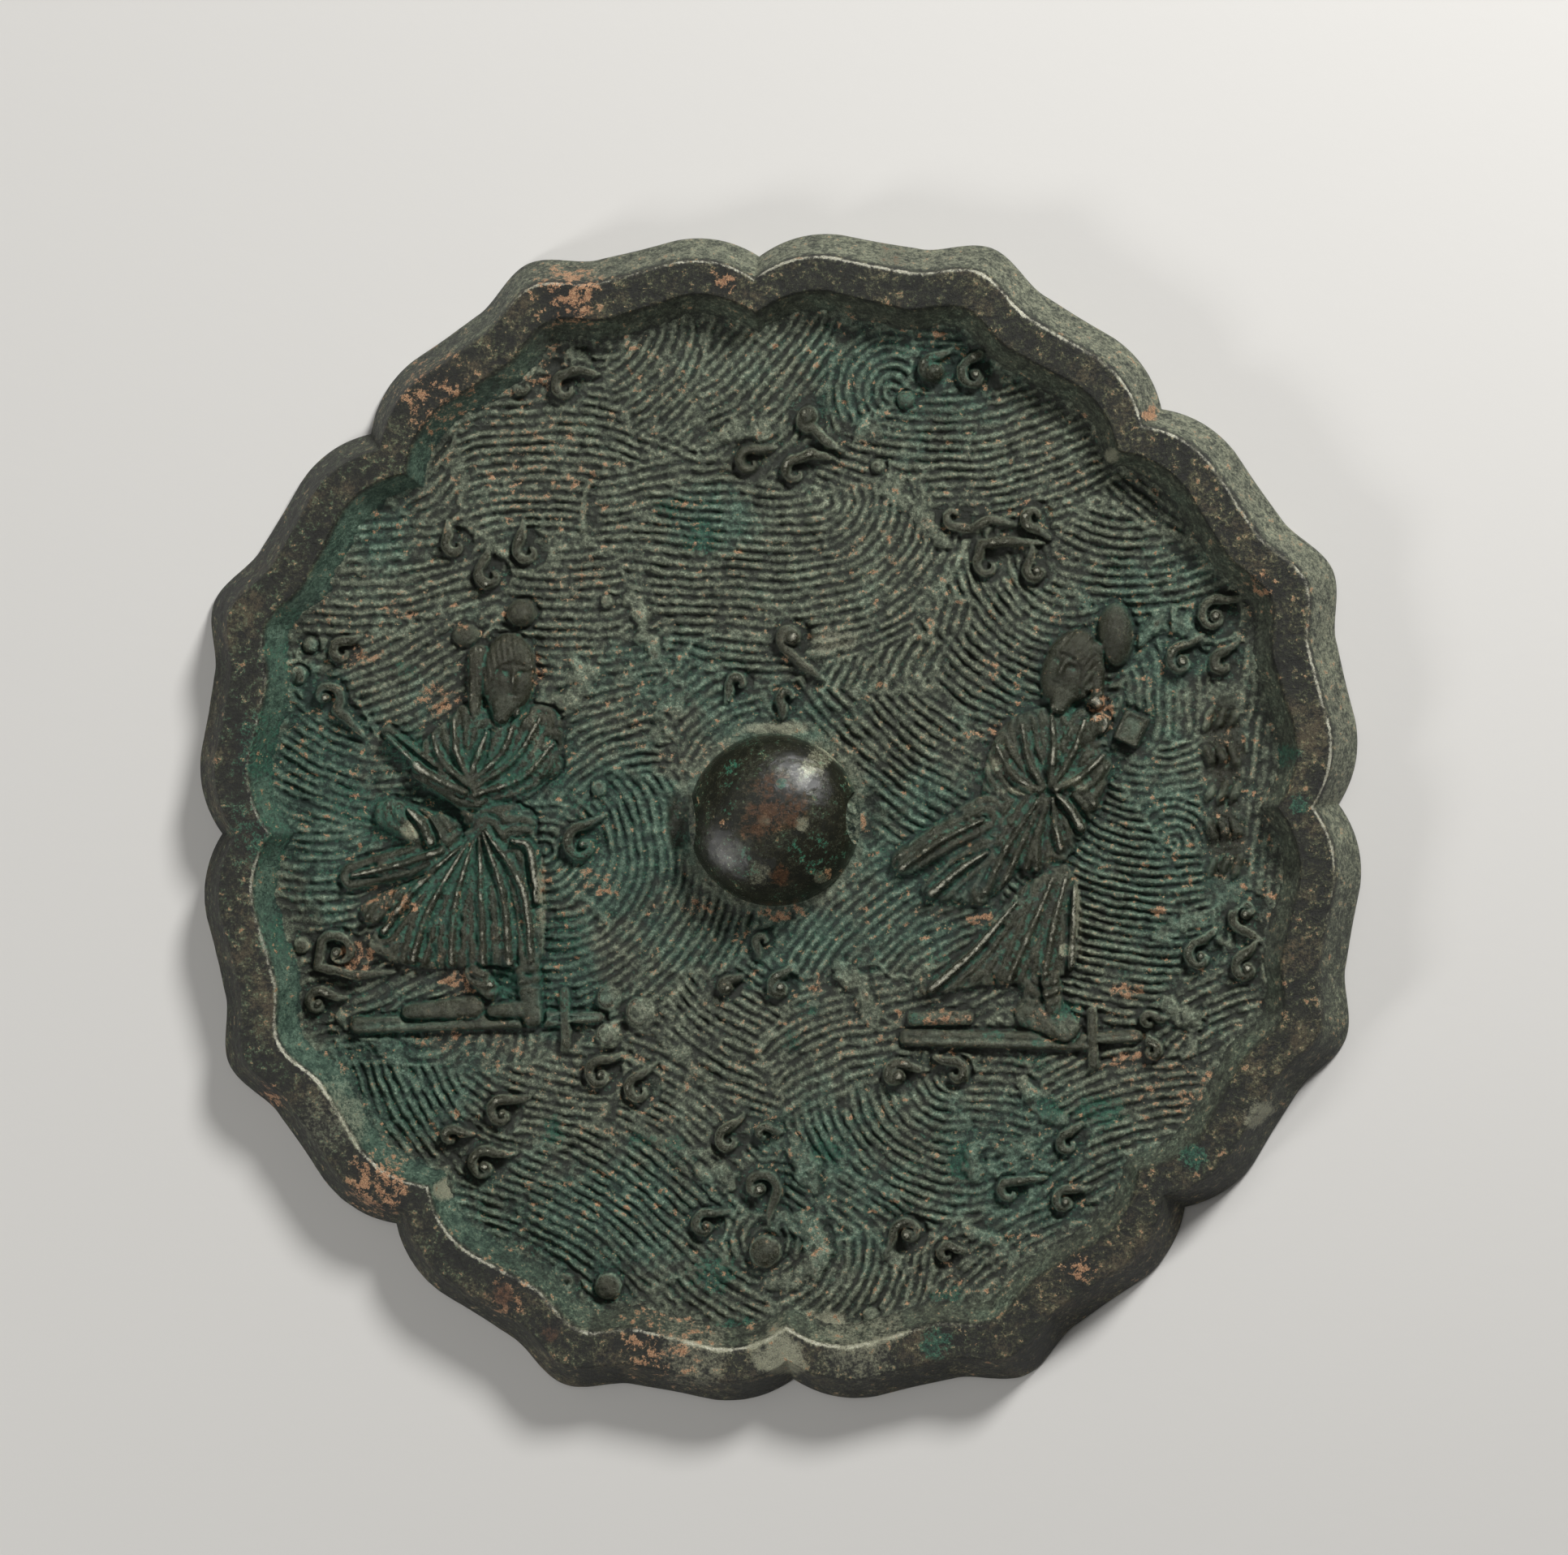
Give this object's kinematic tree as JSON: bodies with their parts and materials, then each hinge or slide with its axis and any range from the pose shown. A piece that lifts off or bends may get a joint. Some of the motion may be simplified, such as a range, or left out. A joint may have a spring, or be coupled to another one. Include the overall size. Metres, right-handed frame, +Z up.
{
  "type": "lobed bronze mirror",
  "caption": "Cast bronze mirror lying on its flat face: lobed raised rim, pierced central knob, relief of robed figures riding swords over curling waves.",
  "frame": {"origin": "centre of the flat reflecting face, which the mirror lies on", "axes": "+Z up out of the decorated side, +X to the decoration's right, +Y to its top"},
  "size_m": [0.1788, 0.1788, 0.0128],
  "materials": {
    "patinated_bronze": "aged bronze, green and brown patina, worn dull metal on the high spots"
  },
  "bodies": {
    "root": {"bronze_mirror": "patinated_bronze"}
  },
  "joints": []
}
